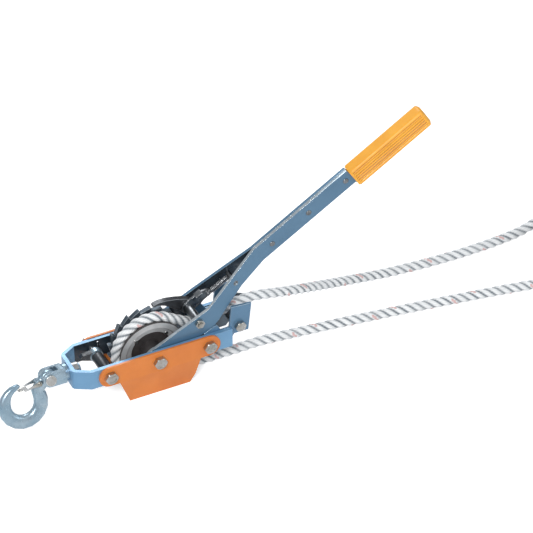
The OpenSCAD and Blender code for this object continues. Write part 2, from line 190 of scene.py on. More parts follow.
def coated(name, base, deep, metallic, rough, coat=0.3, flake=0.04):
    """A thin bright coat over steel: soft patches of tone, fine flake, and an orange-peel surface."""
    s = Shade(name, Metallic=metallic, Coat_Weight=coat, Coat_Roughness=0.12)
    broad = s.noise(22, 4)
    fine = s.noise(1400, 2)
    tone = s.mix(s.ramp(broad, (0.35, 0.0), (0.68, 1.0)), deep, base)
    s.colour(s.mix(s.math("MULTIPLY", fine, flake * 4), tone, [min(1, c * 1.5 + 0.03) for c in base]))
    s.rough(s.ramp(s.noise(60, 5), (0.3, rough - 0.06), (0.7, rough + 0.09)))
    s.bump((s.noise(420, 2), 0.12, 0.0002), (s.noise(35, 3), 0.08, 0.0006))
    return s.made


def bare(name, base, deep, rough):
    """Bare or plated steel with stains and a fine uneven skin."""
    s = Shade(name, Metallic=1.0)
    stain = s.noise(75, 5)
    skin = s.noise(260, 4)
    s.colour(s.mix(s.ramp(stain, (0.36, 0.0), (0.66, 1.0)), deep, base))
    s.rough(s.ramp(s.noise(150, 4), (0.3, rough - 0.08), (0.72, rough + 0.12)))
    s.bump((skin, 0.18, 0.0003), (s.noise(900, 2), 0.1, 0.0002))
    return s.made


def cast(name, base, light, rough, metallic=0.6, coarse=330):
    """Cast or forged steel with a pitted skin."""
    s = Shade(name, Metallic=metallic)
    pits = s.noise(coarse, 6, rough=0.65)
    s.colour(s.mix(s.ramp(s.noise(48, 5), (0.35, 0.0), (0.7, 1.0)), base, light))
    s.rough(s.ramp(pits, (0.3, rough - 0.08), (0.7, rough + 0.12)))
    s.bump((pits, 0.32, 0.0005), (s.noise(60, 3), 0.2, 0.001))
    return s.made


def rope_fibre(name):
    """Silvery twisted fibre: yarns run along the rope, the valleys between strands and the lines between
    yarns are painted darker as shade, and one strand has a coloured tracer yarn that surfaces as short
    flecks."""
    s = Shade(name, Roughness=0.42, Sheen_Weight=0.35, Sheen_Roughness=0.35, Specular_IOR_Level=0.55)
    s.main.inputs["Sheen Tint"].default_value = (0.9, 0.95, 1, 1)
    where = s.node("ShaderNodeUVMap")
    where.uv_map = "lay"
    split = s.node("ShaderNodeSeparateXYZ", Vector=where.outputs["UV"])
    around = split.outputs["X"]
    hollow = s.node("ShaderNodeAttribute")
    hollow.attribute_name = "valley"
    valley_shade = hollow.outputs["Fac"]
    yarn = s.math("ABSOLUTE", s.math("SINE", s.math("MULTIPLY", around, 15 * math.pi)))
    hair = s.noise(3800, 2)
    # Painted shade: the colour darkens towards the valleys between strands
    tone = s.mix(s.ramp(valley_shade, (0.0, 0.0), (0.28, 0.2), (0.72, 1.0)),
                 (0.95, 0.965, 0.975), (0.13, 0.16, 0.19))
    # Painted shade: thin darker lines between the yarns
    tone = s.mix(s.ramp(yarn, (0.0, 0.42), (0.5, 0.0)), tone, (0.42, 0.47, 0.51))
    tone = s.mix(s.ramp(s.noise(34, 3), (0.44, 0.0), (0.7, 0.4)), tone, (0.66, 0.68, 0.7))
    fleck = s.node("ShaderNodeAttribute")
    fleck.attribute_name = "tracer"
    tone = s.mix(s.ramp(fleck.outputs["Fac"], (0.25, 0.0), (0.7, 0.6)), tone, (0.6, 0.19, 0.16))
    s.colour(tone)
    s.bump((yarn, 0.55, 0.0006), (hair, 0.25, 0.0002))
    return s.made


def moulded(name, base, deep):
    s = Shade(name, Roughness=0.38, Subsurface_Weight=0.06, Specular_IOR_Level=0.5)
    s.main.inputs["Subsurface Radius"].default_value = (0.004, 0.002, 0.0006)
    s.main.inputs["Subsurface Scale"].default_value = 0.3
    s.colour(s.mix(s.ramp(s.noise(30, 4), (0.38, 0.0), (0.68, 1.0)), deep, base))
    s.rough(s.ramp(s.noise(200, 4), (0.3, 0.32), (0.7, 0.46)))
    s.bump((s.noise(1100, 2), 0.2, 0.0002), (s.noise(70, 2), 0.06, 0.0008))
    return s.made


BLUE = coated("blue_coat", (0.19, 0.385, 0.6), (0.15, 0.32, 0.52), 0.4, 0.36)
BRACKET = coated("bracket_blue", (0.115, 0.235, 0.37), (0.09, 0.195, 0.32), 0.4, 0.38)
# The *_edge paints are lighter than their coats and go on rolled edges: partly edge wear, partly a painted
# highlight
BLUE_EDGE = coated("blue_coat_edge", (0.46, 0.56, 0.64), (0.3, 0.42, 0.52), 0.7, 0.3)
HANDLE = coated("handle_coat", (0.105, 0.215, 0.335), (0.082, 0.178, 0.285), 0.4, 0.38)
HANDLE_EDGE = coated("handle_coat_edge", (0.58, 0.63, 0.66), (0.36, 0.44, 0.5), 0.8, 0.28)
ORANGE = coated("orange_coat", (0.74, 0.225, 0.035), (0.64, 0.175, 0.025), 0.0, 0.4, 0.25, 0.01)
ORANGE_EDGE = coated("orange_coat_edge", (0.95, 0.42, 0.09), (0.8, 0.3, 0.05), 0.0, 0.36, 0.3, 0.01)
ZINC = bare("zinc_plate", (0.6, 0.61, 0.62), (0.36, 0.35, 0.31), 0.3)
DULL = bare("dull_steel", (0.36, 0.38, 0.4), (0.17, 0.18, 0.19), 0.34)
ZINC_EDGE = bare("zinc_edge", (0.8, 0.8, 0.79), (0.6, 0.6, 0.58), 0.22)
DULL_EDGE = bare("dull_edge", (0.6, 0.62, 0.64), (0.4, 0.41, 0.42), 0.28)
SPRING = bare("spring_wire", (0.62, 0.63, 0.64), (0.36, 0.36, 0.38), 0.28)
FORGED = cast("forged_blue", (0.27, 0.4, 0.5), (0.45, 0.56, 0.64), 0.3, 0.8, 240)
FORGED_EDGE = cast("forged_blue_edge", (0.55, 0.65, 0.71), (0.66, 0.74, 0.79), 0.26, 0.85, 240)
DARK = cast("dark_steel", (0.04, 0.042, 0.047), (0.1, 0.108, 0.118), 0.34, 0.6)
DARK_EDGE = cast("dark_steel_edge", (0.24, 0.26, 0.28), (0.36, 0.38, 0.4), 0.32, 0.8)
WHEEL = cast("ratchet_steel", (0.07, 0.095, 0.12), (0.13, 0.165, 0.2), 0.36, 0.6)
SHEAVE = cast("sheave_iron", (0.05, 0.046, 0.047), (0.11, 0.1, 0.1), 0.4, 0.4)
FLANGE = cast("sheave_flange", (0.36, 0.37, 0.38), (0.55, 0.56, 0.57), 0.36, 0.15)
# Near-black blue: painted shade for the inner faces of the strap's arms and of the handle's far plate
PAINTED_SHADE_BLUE = coated("blue_coat_painted_shade", (0.035, 0.055, 0.078), (0.012, 0.014, 0.018), 0.3, 0.3, 0.5)
SHEAVE_EDGE = cast("sheave_edge", (0.42, 0.42, 0.425), (0.55, 0.55, 0.555), 0.32, 0.8)
AMBER = moulded("amber_grip", (0.93, 0.45, 0.045), (0.86, 0.39, 0.035))
# Darker amber: painted shade in the grip's grooves
AMBER_GROOVE_SHADE = moulded("amber_groove_painted_shade", (0.6, 0.22, 0.02), (0.5, 0.17, 0.015))
FIBRE = rope_fibre("twisted_rope")
STRAP = cast("tie_webbing", (0.02, 0.021, 0.024), (0.045, 0.047, 0.052), 0.75, 0.0, 900)


# ---- Making pieces ----
def shell(name, points, faces, body, paint, slot, hide=(), soft=40):
    """A mesh piece from points in millimetres from the axle, standing for the CAD nodes in hide."""
    data = bpy.data.meshes.new(name)
    data.from_pydata([row(p) for p in points], [], faces)
    data.update()
    data.materials.append(paint)
    data.set_sharp_from_angle(angle=math.radians(soft))
    for face in data.polygons:
        face.use_smooth = True
    made = bpy.data.objects.new(name, data)
    bpy.context.scene.collection.objects.link(made)
    if body:
        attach(made, body)
    if hide:
        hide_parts(*hide)
    return made


def repainted(made, paint, wanted):
    """Gives the faces of a piece that wanted() picks, by centre and normal in millimetres, another paint."""
    made.data.materials.append(paint)
    for face in made.data.polygons:
        if wanted(face.center * 1000 - AXLE, face.normal):
            face.material_index = len(made.data.materials) - 1
    return made


BODY_OF = {n: b for b, ns in frame["record"]["behaviour"]["bodies"].items() for n in ns}


def eased(node, width, paint, edge, sharp=32, steps=2):
    """A copy of a CAD node with its sharp edges rolled over, and the rolled edge in a lighter paint: partly
    edge wear, partly a painted highlight.
    """
    data = NODES[node].data.copy()
    data.name = node + "_eased"
    b = bmesh.new()
    b.from_mesh(data)
    b.transform(NODES[node].matrix_world)
    bmesh.ops.remove_doubles(b, verts=b.verts, dist=2e-6)
    bmesh.ops.dissolve_limit(b, angle_limit=math.radians(1.2), verts=b.verts, edges=b.edges)
    b.to_mesh(data)
    b.free()
    data.materials.clear()
    data.materials.append(paint)
    data.materials.append(edge)
    for face in data.polygons:
        face.material_index = 0
        face.use_smooth = True
    data.set_sharp_from_angle(angle=math.radians(sharp))
    made = bpy.data.objects.new(node + "_eased", data)
    bpy.context.scene.collection.objects.link(made)
    roll = made.modifiers.new("roll", "BEVEL")
    roll.width, roll.segments, roll.limit_method = width / 1000, steps, "ANGLE"
    roll.angle_limit = math.radians(sharp)
    # The rolled faces take the second, lighter paint: edge wear and a painted highlight
    roll.material = 1
    roll.use_clamp_overlap = True
    roll.miter_outer = "MITER_ARC"
    roll.harden_normals = True
    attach(made, BODY_OF[node])
    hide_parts(node)
    return made


def loft(rings, caps=True):
    """Points and faces through closed rings of equally many points."""
    n = len(rings[0])
    points = [p for ring in rings for p in ring]
    faces = []
    for i in range(len(rings) - 1):
        for k in range(n):
            m = (k + 1) % n
            faces.append((i * n + k, i * n + m, (i + 1) * n + m, (i + 1) * n + k))
    if caps:
        faces.append(tuple(range(n - 1, -1, -1)))
        faces.append(tuple((len(rings) - 1) * n + k for k in range(n)))
    return points, faces


def joined(*parts):
    points, faces = [], []
    for p, f in parts:
        base = len(points)
        points += p
        faces += [tuple(base + i for i in face) for face in f]
    return points, faces


def moved(part, matrix):
    return [matrix @ Vector(p) for p in part[0]], part[1]


def spun(profile, sides):
    """A solid turned about Y from (radius, y) pairs that run from one end to the other."""
    rings = []
    for r, y in profile:
        rings.append([Vector((r * math.cos(TAU * k / sides), y, r * math.sin(TAU * k / sides)))
                      for k in range(sides)])
    return loft(rings)


def along(path, up=(0, 1, 0)):
    """Frames carried along a path without twist: (point, side, lift, ahead)."""
    path = [Vector(p) for p in path]
    ahead = [(path[min(i + 1, len(path) - 1)] - path[max(i - 1, 0)]).normalized() for i in range(len(path))]
    side = Vector(up).cross(ahead[0]).normalized()
    frames = []
    for p, d in zip(path, ahead):
        side = (side - d * side.dot(d)).normalized()
        frames.append((p, side, d.cross(side), d))
    return frames


def wire(path, radius):
    sides, rings = 10, []
    for p, u, v, _ in along(path):
        rings.append([p + radius * (u * math.cos(TAU * k / sides) + v * math.sin(TAU * k / sides))
                      for k in range(sides)])
    return loft(rings)


def smooth(route, step):
    """A Catmull-Rom curve through a route, with points about step apart."""
    pts = [Vector(p) for p in route]
    pts = [pts[0] * 2 - pts[1]] + pts + [pts[-1] * 2 - pts[-2]]
    dense = []
    for a, b, c, d in zip(pts, pts[1:], pts[2:], pts[3:]):
        for i in range(12):
            t = i / 12
            dense.append(0.5 * ((2 * b) + (c - a) * t + (2 * a - 5 * b + 4 * c - d) * t * t
                                + (3 * b - a - 3 * c + d) * t ** 3))
    dense.append(pts[-2])
    return even(dense, step)


def even(dense, step):
    """A line's points spaced evenly, about step apart."""
    total = sum((b - a).length for a, b in zip(dense, dense[1:]))
    count = max(2, round(total / step))
    out, gone, want = [dense[0]], 0.0, total / count
    for a, b in zip(dense, dense[1:]):
        d = (b - a).length
        while d > 0 and gone + d >= want * len(out) - 1e-9 and len(out) < count:
            out.append(a.lerp(b, (want * len(out) - gone) / d))
        gone += d
    out.append(dense[-1])
    return out


# ---- The rope ----
PITCH = 33.0
SIDES = 30
FLECK_EVERY = 24.75
FLECK_HALF = 3.6
LOAD_ROUTE = [
    (21.7, 0, 34.8), (32, 0, 28.4), (42, 0, 22.4), (52, 0, 17.6), (64, 0, 15.2), (77, 0, 16.4),
    (90, 0, 20.6), (103, 0, 25), (116, 0, 27), (130, 0, 26.8), (143, 0, 25), (157, 1, 21.2),
    (173, 4, 15.5), (190, 8.5, 9), (210, 15.4, 0), (230, 22.4, -9), (250, 28.9, -17.5),
    (270, 34.4, -25), (290, 38.8, -31.5), (310, 42, -37), (330, 44, -41), (352, 44.6, -43.2),
    (375, 43.8, -44), (405, 42.3, -44), (435, 42, -44), (465, 43, -44), (490, 45, -44),
    (512, 47, -43), (530, 47.6, -38), (548, 47.6, -29), (566, 47.4, -18), (584, 46.6, -9),
    (602, 44, -3.6), (620, 39.5, -1.6), (636, 35, -1.4), (655, 31.7, -1.4), (678, 31, -1.4), (700, 31, -1.4)]
TAIL_ROUTE = [
    (0, 0, -41), (22, 0, -41.8), (50, 0, -43), (80, 0, -43.8), (110, 0, -44), (142, 0, -44),
    (183, -4.2, -44), (224, -9.1, -44), (266, -14.5, -44), (307, -20.2, -44), (345, -25.7, -44),
    (385, -31.9, -44), (425, -38.4, -44), (463, -45, -44), (490, -51, -44), (509, -56.2, -44)]
HANK = Vector((558, -19, 0))
HANK_RUN = 215


def ease(t):
    t = min(1, max(0, t))
    return t * t * (3 - 2 * t)


def hank_route():
    """Six turns in two columns and three layers. Each turn changes its place on the left-hand bend."""
    out_r, in_r, low, step = 51.15, 38.45, -44.1, 12.7
    lay = [(out_r, 0), (in_r, 0), (in_r, 1), (out_r, 1), (out_r, 2), (in_r, 2)]
    pts = [Vector((535, -63.6, -44)), Vector((556, -68.9, -44))]
    for i, (r, layer) in enumerate(lay):
        z = low + step * layer
        for x in range(20 if i == 0 else 0, HANK_RUN, 24):
            pts.append(HANK + Vector((x, -r, z)))
        for k in range(0, 13):
            a = math.radians(-90 + 15 * k)
            pts.append(HANK + Vector((HANK_RUN + r * math.cos(a), r * math.sin(a), z)))
        last = i == len(lay) - 1
        for x in range(HANK_RUN - 24, 0, -24):
            pts.append(HANK + Vector((x, r, z)))
        if last:
            for k in range(0, 5):
                a = math.radians(90 + 15 * k)
                pts.append(HANK + Vector((r * math.cos(a), r * math.sin(a), z)))
            break
        r2, layer2 = lay[i + 1]
        climbs = layer2 != layer
        begin, finish_at = (0.3, 0.8) if climbs else (0.45, 1.0) if i == 0 else (0.0, 0.5)
        for k in range(0, 12):
            t = k / 12
            s = ease((t - begin) / (finish_at - begin))
            a = math.radians(90 + 180 * t)
            rr = r + (r2 - r) * s
            pts.append(HANK + Vector((rr * math.cos(a), rr * math.sin(a), z + step * (layer2 - layer) * s)))
    return pts


def on_sheave():
    out = []
    for k in range(1, 24):
        a = math.radians(58 + 212 * k / 24)
        out.append(Vector((41 * math.cos(a), 0, 41 * math.sin(a))))
    return out


load_line = smooth(LOAD_ROUTE, 2.6)
wrap_line = even([load_line[0]] + on_sheave() + [Vector(TAIL_ROUTE[0])], 2.2)
tail_line = smooth(TAIL_ROUTE + [tuple(p) for p in hank_route()], 2.6)
whole = load_line[::-1] + wrap_line[1:-1] + tail_line
CUT_A = len(load_line) - 1
CUT_B = CUT_A + len(wrap_line) - 1


def twisted(frames, radius, pitch, sides, start, strands):
    """A rope's surface: lobes for its strands, turned with the distance along it. Returns its rings, and
    for each ring its distance along and the turn of its strands."""
    rings, turns, gone, groove = [], [], start, 0.77
    # a is a strand's radius and b its centre's distance, as shares of the rope's radius
    a = 0.4641 if strands == 3 else 0.3
    b = 1 - a
    half = math.pi / strands
    for i, (p, u, v, _) in enumerate(frames):
        if i:
            gone += (p - frames[i - 1][0]).length
        spin = TAU * gone / pitch
        turns.append((gone, spin))
        r0 = radius(i / (len(frames) - 1)) if callable(radius) else radius
        ring = []
        for k in range(sides):
            phi = TAU * k / sides
            off = (phi - spin + half) % (2 * half) - half
            inside = a * a - (b * math.sin(off)) ** 2
            lobe = b * math.cos(off) + math.sqrt(inside) if inside > 0 else groove
            ring.append(p + r0 * max(groove, lobe) * (u * math.cos(phi) + v * math.sin(phi)))
        rings.append(ring)
    return rings, turns


def rope_piece(name, frames, radius, hide, start=0.0, pitch=PITCH, strands=3, sides=SIDES):
    """A piece of rope. valley is 1 between strands, tracer is 1 on a fleck, and the first coordinate of the
    map lay runs once round the rope."""
    rings, turns = twisted(frames, radius, pitch, sides, start, strands)
    points, faces = loft(rings)
    made = shell(name, points, faces, "frame", FIBRE, "rope", hide, soft=75)
    data = made.data
    lay = data.uv_layers.new(name="lay")
    valley = data.attributes.new("valley", "FLOAT", "POINT")
    tracer = data.attributes.new("tracer", "FLOAT", "POINT")
    half = math.pi / strands
    for i, (gone, spin) in enumerate(turns):
        shown = abs((gone + 6) % FLECK_EVERY - 12.4) < FLECK_HALF
        for k in range(sides):
            turn_at = TAU * k / sides - spin + half
            off = turn_at % (2 * half) - half
            # valley drives the painted shade between strands
            valley.data[i * sides + k].value = (abs(off) / half) ** 2.2
            first = turn_at // (2 * half) % strands == 0
            tracer.data[i * sides + k].value = shown and first and abs(off) < 0.34
    for face in data.polygons:
        ks = [data.loops[l].vertex_index for l in face.loop_indices]
        if len(ks) != 4:
            continue
        wraps = any(v % sides == sides - 1 for v in ks) and any(v % sides == 0 for v in ks)
        mid = None
        for l, v in zip(face.loop_indices, ks):
            k = v % sides + (sides if wraps and v % sides == 0 else 0)
            spin = turns[v // sides][1]
            strand = (TAU * k / sides - spin) / TAU
            if mid is None:
                mid = math.floor(strand)
            lay.data[l].uv = (k / sides, strand - mid)
    return made


frames_all = along(whole)
gone_at = [0.0]
for (p, *_), (q, *_) in zip(frames_all, frames_all[1:]):
    gone_at.append(gone_at[-1] + (q - p).length)
load_rope = rope_piece("rope_load", frames_all[:CUT_A + 1], ROPE, ["rope_load_run"])
rope_piece("rope_on_sheave", frames_all[CUT_A:CUT_B + 1], ROPE, ["rope_wrap"], gone_at[CUT_A])
tail_rope = rope_piece("rope_tail", frames_all[CUT_B:], ROPE, ["rope_tail_run", "tail_hank"], gone_at[CUT_B])
LOAD = Vector((745, 31, -1.4))


def splice():
    """The eye round the thimble and the tucked, tapered body behind it."""
    eye = [(-40, 2.6, 0), (-30, 3.0, 0), (-22, 4.6, 0), (-15.5, 7.8, 0)]
    eye += [(15 * math.cos(math.radians(a)), 15 * math.sin(math.radians(a)), 0)
            for a in range(125, -126, -10)]
    eye += [(-15.5, -7.8, 0), (-22, -4.6, 0), (-30, -3.0, 0), (-40, -2.6, 0)]
    made = rope_piece("rope_eye", along([LOAD + p for p in smooth(eye, 1.6)], (0, 0, 1)), ROPE * 0.985,
                      ["load_splice"])
    neck_line = [LOAD + Vector((x, 0.6 * min(1, (-26 - x) / 60), 0)) for x in range(-26, -93, -2)]

    def thick(t):
        return 8.9 - 2.3 * t + 0.35 * math.sin(t * 22)
    neck = rope_piece("rope_splice", along(neck_line, (0, 0, 1)), thick, [], pitch=24, strands=6, sides=36)
    return made, neck


eye_piece, neck_piece = splice()


def band(at_x, mid_y):
    """A strap pulled round the six ropes of one side of the hank."""
    hy, hz, r, wide = 12.7, 19.05, 6.2, 8.0
    ring_in = []
    for cy, cz, a0 in ((1, 1, 0), (-1, 1, 90), (-1, -1, 180), (1, -1, 270)):
        for k in range(0, 7):
            a = math.radians(a0 + 15 * k)
            ny, nz = math.cos(a), math.sin(a)
            ring_in.append((cy * (hy - r) + r * ny, cz * (hz - r) + r * nz, ny, nz))
    prof = [(-wide / 2, 0.0), (-wide / 2, 0.9), (-wide / 2 + 0.5, 1.25),
            (wide / 2 - 0.5, 1.25), (wide / 2, 0.9), (wide / 2, 0.0)]
    rings = []
    for y, z, ny, nz in ring_in + [ring_in[0]]:
        lift = 1.0 if z > -hz + 1.5 else 0.25
        rings.append([Vector((at_x + px, HANK.y + mid_y + y + ny * ph * lift,
                              GROUND + hz + z + nz * ph * lift)) for px, ph in prof])
    return loft(rings, caps=False)


tie_part = joined(band(670, -44.8), band(568, 44.8))
tie_piece = shell("hank_straps", *tie_part, "frame", STRAP, "tie_black", ["hank_ties"])


# ---- Hooks ----
def hook_line():
    """Centre line and half sizes of a slip hook: (x, y, half across, half through)."""
    neck_from = (4.5, -1.5)
    c = Vector((34, -22))
    out = [(*neck_from, 8.2, 5.0)]
    out += [(neck_from[0] * 0.45 + 6.5, neck_from[1] * 0.45 - 4.0, 7.2, 5.0)]
    for a, r, half, thick in ((150, 22.2, 7.3, 5.2), (165, 21.8, 7.8, 5.4), (180, 21.75, 8.1, 5.5),
                              (200, 21.75, 8.25, 5.5), (220, 21.75, 8.25, 5.5), (240, 21.75, 8.25, 5.5),
                              (260, 21.75, 8.25, 5.5), (280, 21.75, 8.25, 5.5), (300, 21.75, 8.2, 5.5),
                              (320, 21.75, 8.1, 5.4), (340, 21.75, 7.9, 5.3), (358, 21.75, 7.5, 5.1),
                              (376, 21.75, 6.9, 4.8), (392, 21.9, 6.0, 4.5), (408, 22.1, 4.9, 4.1),
                              (424, 22.3, 3.9, 3.7), (438, 22.4, 3.1, 3.3), (446, 22.5, 2.3, 2.7),
                              (449.5, 22.5, 1.1, 1.5)):
        t = math.radians(a)
        out.append((c.x + r * math.cos(t), c.y + r * math.sin(t), half, thick))
    return out


def hook_mesh():
    line = hook_line()
    sides, rings = 24, []
    for i, (x, y, half, thick) in enumerate(line):
        ahead = (Vector(line[min(i + 1, len(line) - 1)][:2]) - Vector(line[max(i - 1, 0)][:2])).normalized()
        side = Vector((-ahead.y, ahead.x))
        ring = []
        for k in range(sides):
            a = TAU * k / sides
            ca, sa = math.cos(a), math.sin(a)
            # a rounded, slightly flattened section
            wide = math.copysign(abs(ca) ** 0.78, ca)
            deep = math.copysign(abs(sa) ** 0.7, sa)
            ring.append(Vector((x + side.x * half * wide, y + side.y * half * wide, thick * deep)))
        rings.append(ring)
    return loft(rings)


def boss(x, y, r_in, r, half, sides=40, roll=1.0):
    """A ring about local Z."""
    prof = [(r_in, -half), (r - roll, -half), (r, -half + roll),
            (r, half - roll), (r - roll, half), (r_in, half)]
    rings = [[Vector((x + q * math.cos(TAU * k / sides), y + q * math.sin(TAU * k / sides), z))
              for k in range(sides)] for q, z in prof]
    return loft(rings + [rings[0]], caps=False)


# The anchor hook leans about its swivel until it rests on the ground
LEAN = turn("X", -17)
AT_HOOK = (LEAN @ Matrix.Translation((-124, 0, 0)) @ Matrix.Rotation(math.pi, 4, "Z")
           @ Matrix.Rotation(math.pi / 2, 4, "X"))
AT_LOAD_HOOK = Matrix.Translation(LOAD) @ Matrix.Translation((26, 0, 0))

shell("anchor_hook_forged", *moved(joined(hook_mesh(), boss(0, 0, 4.55, 9.5, 5.2)), AT_HOOK),
      "anchor_hook", FORGED, "hook_blue", ["anchor_hook"], 50)
shell("anchor_hook_latch_boss", *moved(boss(12, -2, 0.02, 3.6, 5.6, 24, 0.6), AT_HOOK), "anchor_hook", FORGED,
      "hook_blue")


def latch(name, matrix, body, hide):
    """A pressed latch: two ears on its pin, and a dished tongue that closes the mouth."""
    parts = []
    for z0, z1 in ((-7.05, -5.85), (5.85, 7.05)):
        outline = [(12 + 3.0 * math.cos(math.radians(a)), -2 + 3.0 * math.sin(math.radians(a)))
                   for a in range(75, 286, 15)]
        outline += [(20, -4.6), (26, -5.5), (31, -5.9), (31.4, -4.4), (26, -3.2), (20, -1.6)]
        parts.append(loft([[Vector((x, y, z)) for x, y in outline] for z in (z0, z1)]))
    tongue = []
    for x, y, half in ((26.4, -4.9, 5.95), (28.5, -5.05, 6.0), (30.5, -5.2, 6.0), (32.2, -5.3, 5.2),
                       (34, -5.4, 4.6), (35.8, -5.5, 4.2), (36.8, -5.6, 3.4)):
        ring = []
        for k in range(-4, 5):
            ring.append(Vector((x, y + 1.3 - 0.5 * (1 - (k / 4) ** 2), half * k / 4)))
        for k in range(4, -5, -1):
            ring.append(Vector((x, y + 0.1 - 0.5 * (1 - (k / 4) ** 2), half * k / 4)))
        tongue.append(ring)
    parts.append(loft(tongue))
    made = shell(name, *moved(joined(*parts), matrix), body, ZINC, "zinc", hide, 40)
    roll = made.modifiers.new("roll", "BEVEL")
    roll.width, roll.segments, roll.limit_method = 0.00025, 2, "ANGLE"
    return made


def rivet(name, matrix, body, hide):
    """A latch's pin, with a domed head at each end."""
    prof = [(0.05, -8.1), (1.5, -8.0), (2.5, -7.5), (2.7, -7.15), (1.55, -7.12), (1.55, 7.12), (2.7, 7.15),
            (2.5, 7.5), (1.5, 8.0), (0.05, 8.1)]
    at = matrix @ Matrix.Translation((12, -2, 0)) @ Matrix.Rotation(math.pi / 2, 4, "X")
    return shell(name, *moved(spun(prof, 24), at), body, ZINC, "zinc", hide, 40)


latch("anchor_latch_pressed", AT_HOOK, "anchor_latch", ["anchor_latch"])
rivet("anchor_latch_rivet", AT_HOOK, "anchor_hook", ["anchor_latch_pin"])
load_latch = latch("load_latch_pressed", AT_LOAD_HOOK, "load_latch", ["load_latch"])
load_rivet = rivet("load_latch_rivet", AT_LOAD_HOOK, "load_hook", ["load_latch_pin"])
hook_load = eased("load_hook", 0.9, FORGED, FORGED_EDGE)
thimble = eased("load_thimble", 0.5, ZINC, ZINC_EDGE)
clevis_pin = eased("load_pin", 0.6, ZINC, ZINC_EDGE)

# ---- Frame, guards and brackets ----
# The inner faces of the strap's two arms take the near-black blue as painted shade
repainted(eased("frame_strap", 0.7, BLUE, BLUE_EDGE), PAINTED_SHADE_BLUE,
          lambda c, n: n.y < -0.6 and c.y > 0 and c.x > -78 or n.y > 0.6 and c.y < 0 and c.x > -78)
for side in ("guard_near", "guard_far"):
    eased(side, 0.45, ORANGE, ORANGE_EDGE)
for side in ("bracket_near", "bracket_far"):
    eased(side, 0.5, BRACKET, BLUE_EDGE)
eased("rope_guide", 0.4, WHEEL, DARK_EDGE)
for tube in ("axle_bushing", "frame_washers", "pawl_pivot_nut", "stud_collar", "frame_nuts"):
    eased(tube, 0.3, ZINC, ZINC_EDGE)
for tube in ("rear_spacer", "guide_spacers", "pawl_spacers", "spring_anchor_pin", "pawl_release_tab"):
    eased(tube, 0.3, DULL, DULL_EDGE)
eased("front_spacer", 0.4, DARK, DARK_EDGE)
eased("hook_yoke", 1.1, FORGED, FORGED_EDGE, steps=3)
eased("yoke_pin", 0.8, ZINC, ZINC_EDGE, steps=3)
repainted(eased("sheave", 0.5, SHEAVE, SHEAVE_EDGE, sharp=20), FLANGE,
          lambda c, n: n.y < -0.7 and (-9.7 < c.y < -9 or 24.5 < math.hypot(c.x, c.z)))
eased("ratchet_wheel", 0.35, WHEEL, DARK_EDGE)
eased("ratchet_rivets", 0.4, ZINC, ZINC_EDGE)
eased("drive_pawl", 0.9, DARK, DARK_EDGE, steps=3)
repainted(eased("stop_pawl", 0.7, DARK, DARK_EDGE, steps=3), FORGED,
          lambda c, n: math.hypot(c.x - FRONT, c.z) < 8.3)
# The thin side faces of the handle's near plate take the light edge paint: a painted highlight along its
# edges
repainted(eased("handle_near", 0.5, HANDLE, HANDLE_EDGE), HANDLE_EDGE, lambda c, n: abs(n.y) < 0.3)
# The inner face of the handle's far plate takes the near-black blue as painted shade
repainted(eased("handle_far", 0.5, HANDLE, HANDLE_EDGE), PAINTED_SHADE_BLUE, lambda c, n: n.y < -0.5 and c.x < 125)


def hex_bolt(name, x, z, face_y, head, across, shank_r, end_y, node, body="frame"):
    """A bolt along Y with a chamfered hexagon head on face_y, a shank, and a grooved end at end_y."""
    flat = across / 2
    sign = 1 if end_y > face_y else -1
    rings = []

    def ring(radius, y, hexed):
        out = []
        for k in range(48):
            a = TAU * k / 48
            r = radius
            if hexed:
                rim = flat / math.cos((a % (math.pi / 3)) - math.pi / 6)
                r = min(radius, rim)
            out.append(Vector((x + r * math.cos(a), y, z + r * math.sin(a))))
        return out
    tip = flat / math.cos(math.pi / 6)
    top = face_y - sign * head
    for r, y, hexed in ((0.1, top + sign * 0.5, 0), (flat * 0.62, top + sign * 0.5, 0), (flat * 0.66, top, 0),
                        (flat * 0.95, top, 1), (flat * 1.03, top + sign * 0.35, 1),
                        (tip * 0.97, top + sign * 0.9, 1), (tip, top + sign * 1.3, 1),
                        (tip, face_y - sign * 0.3, 1), (tip * 0.97, face_y, 1), (shank_r, face_y, 0)):
        rings.append(ring(r, y, hexed))
    # grooves over the last 9 mm stand for the thread
    y = end_y - sign * 9
    while sign * (end_y - y) > 0.7:
        rings.append(ring(shank_r, y, 0))
        rings.append(ring(shank_r - 0.35, y + sign * 0.55, 0))
        y += sign * 1.1
    rings.append(ring(shank_r - 0.5, end_y, 0))
    points, faces = loft(rings)
    if sign < 0:
        faces = [f[::-1] for f in faces]
    shell(name, points, faces, body, ZINC, "zinc", [node], 32)


for node, x in (("front_bolt", FRONT), ("axle_bolt", 0), ("rear_bolt", 62)):
    hex_bolt(node + "_hex", x, 0, -30, 5.5, 14, 4, 40.5, node)
hex_bolt("guide_bolt_hex", 103, 11, -23, 5, 12, 4, 31, "guide_bolt")
hex_bolt("pawl_pivot_bolt_hex", 53, 32, 22, 4, 10, 3, -28, "pawl_pivot_bolt", "handle")

# ---- Handle's own frame ----
HAND = turn("Y", -32.5)


def domes():
    """Rivet heads on both faces of the handle."""
    parts = []
    for s in (182, 236, 291):
        for side in (-1, 1):
            rings = []
            for q, h in ((3.4, 0.0), (3.35, 0.35), (3.0, 0.8), (2.2, 1.12), (1.0, 1.2), (0.05, 1.2)):
                rings.append([Vector((s + q * math.cos(TAU * k / 28), side * (3.8 + h),
                                      side * q * math.sin(TAU * k / 28))) for k in range(28)])
            parts.append(loft(rings))
    return joined(*parts)


shell("handle_rivet_heads", *moved(domes(), HAND), "handle", DULL, "frame_blue", ["handle_rivets"], 50)


RIB_HALF = 10.6
GRIP_MID = -4


def rib_wave(t):
    """Crosses zero at each groove between the grip's ribs, t millimetres off its middle."""
    return math.sin((t + RIB_HALF) / (2 * RIB_HALF) * math.pi * 6)


